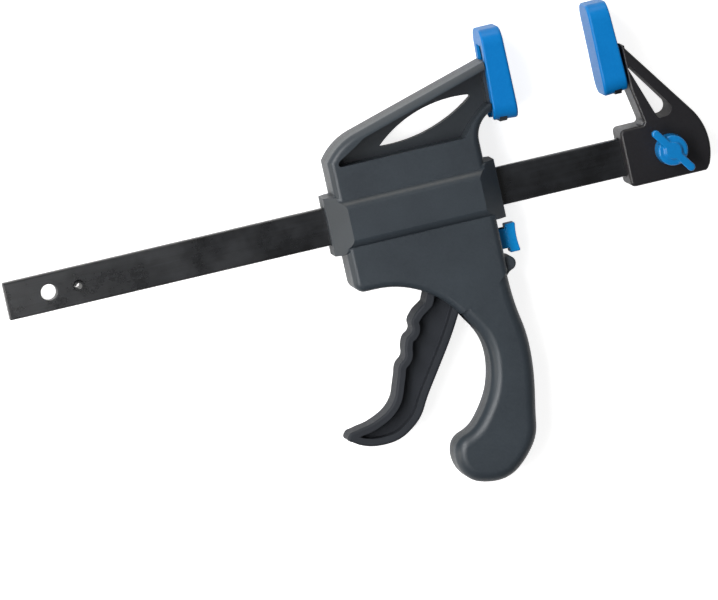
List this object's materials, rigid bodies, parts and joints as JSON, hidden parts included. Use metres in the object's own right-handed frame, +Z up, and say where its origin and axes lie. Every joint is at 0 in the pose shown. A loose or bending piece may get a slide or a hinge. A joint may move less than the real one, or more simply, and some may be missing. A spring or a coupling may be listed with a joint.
{
  "type": "quick release bar clamp",
  "caption": "One-handed bar clamp with a trigger grip and release tab on the sliding jaw, a fixed jaw pinned to a flat steel bar, and soft blue pads.",
  "frame": {"origin": "middle of the collar's flat back, on which the clamp lies, under the bar's centreline", "axes": "+X along the bar towards the fixed jaw, +Y towards the jaw tips, +Z up through the thickness, towards the side with the knob"},
  "size_m": [0.3024, 0.1861, 0.0357],
  "materials": {
    "housing": "moulded dark blue-grey, fine matte grain",
    "trigger": "moulded dark grey, fine matte grain",
    "black_moulding": "moulded near-black, fine matte grain",
    "pad": "soft blue, satin",
    "tab": "moulded blue, satin",
    "knob": "moulded bright blue, gloss",
    "black_steel": "black oxide, satin",
    "bright_steel": "zinc plated",
    "spring_steel": "drawn spring wire",
    "screw_steel": "blackened"
  },
  "bodies": {
    "moving_jaw": {"front_shell": "housing", "rear_shell": "housing", "moving_jaw_pad": "pad", "trigger_pivot_pin": "bright_steel", "housing_screw_1": "screw_steel", "housing_screw_2": "screw_steel", "housing_screw_3": "screw_steel", "housing_screw_4": "screw_steel", "housing_screw_5": "screw_steel", "housing_screw_6": "screw_steel", "drive_spring": "spring_steel", "release_spring": "spring_steel"},
    "bar": {"bar": "black_steel", "stop_pin": "black_steel", "fixed_jaw": "black_moulding", "fixed_jaw_pad": "pad"},
    "trigger": {"trigger": "trigger"},
    "drive_plate": {"drive_plate": "bright_steel"},
    "release_lever": {"brake_plate": "bright_steel", "release_tab": "tab"},
    "lock_knob": {"lock_knob": "knob", "lock_pin": "bright_steel"}
  },
  "joints": [
    {"name": "bar_slide", "type": "slide", "parent": "moving_jaw", "child": "bar", "axis": [1, 0, 0], "range_m": [-0.0368, 0.1052]},
    {"name": "trigger_pull", "type": "hinge", "parent": "moving_jaw", "child": "trigger", "pos_m": [0.008, -0.026, 0.015], "axis": [0, 0, 1], "range_deg": [0, 16.5], "stiffness_Nm_per_rad": 0.2, "springref_deg": -17.19},
    {"name": "drive_plate_slide", "type": "slide", "parent": "moving_jaw", "child": "drive_plate", "axis": [1, 0, 0], "range_m": [-0.0055, 0], "deforming": ["drive_spring"]},
    {"name": "release_tilt", "type": "hinge", "parent": "moving_jaw", "child": "release_lever", "pos_m": [0.0236, 0.015, 0.015], "axis": [0, 0, 1], "range_deg": [-2.8, 0], "stiffness_Nm_per_rad": 0.3, "springref_deg": 5.73, "deforming": ["release_spring"]},
    {"name": "knob_turn", "type": "hinge", "parent": "bar", "child": "lock_knob", "pos_m": [0.11, 0, 0.015], "axis": [0, 0, 1], "range_deg": [0, 90]}
  ],
  "couplings": [
    {"joint": "drive_plate_slide", "follows": "trigger_pull", "m_per_rad": -0.018}
  ]
}
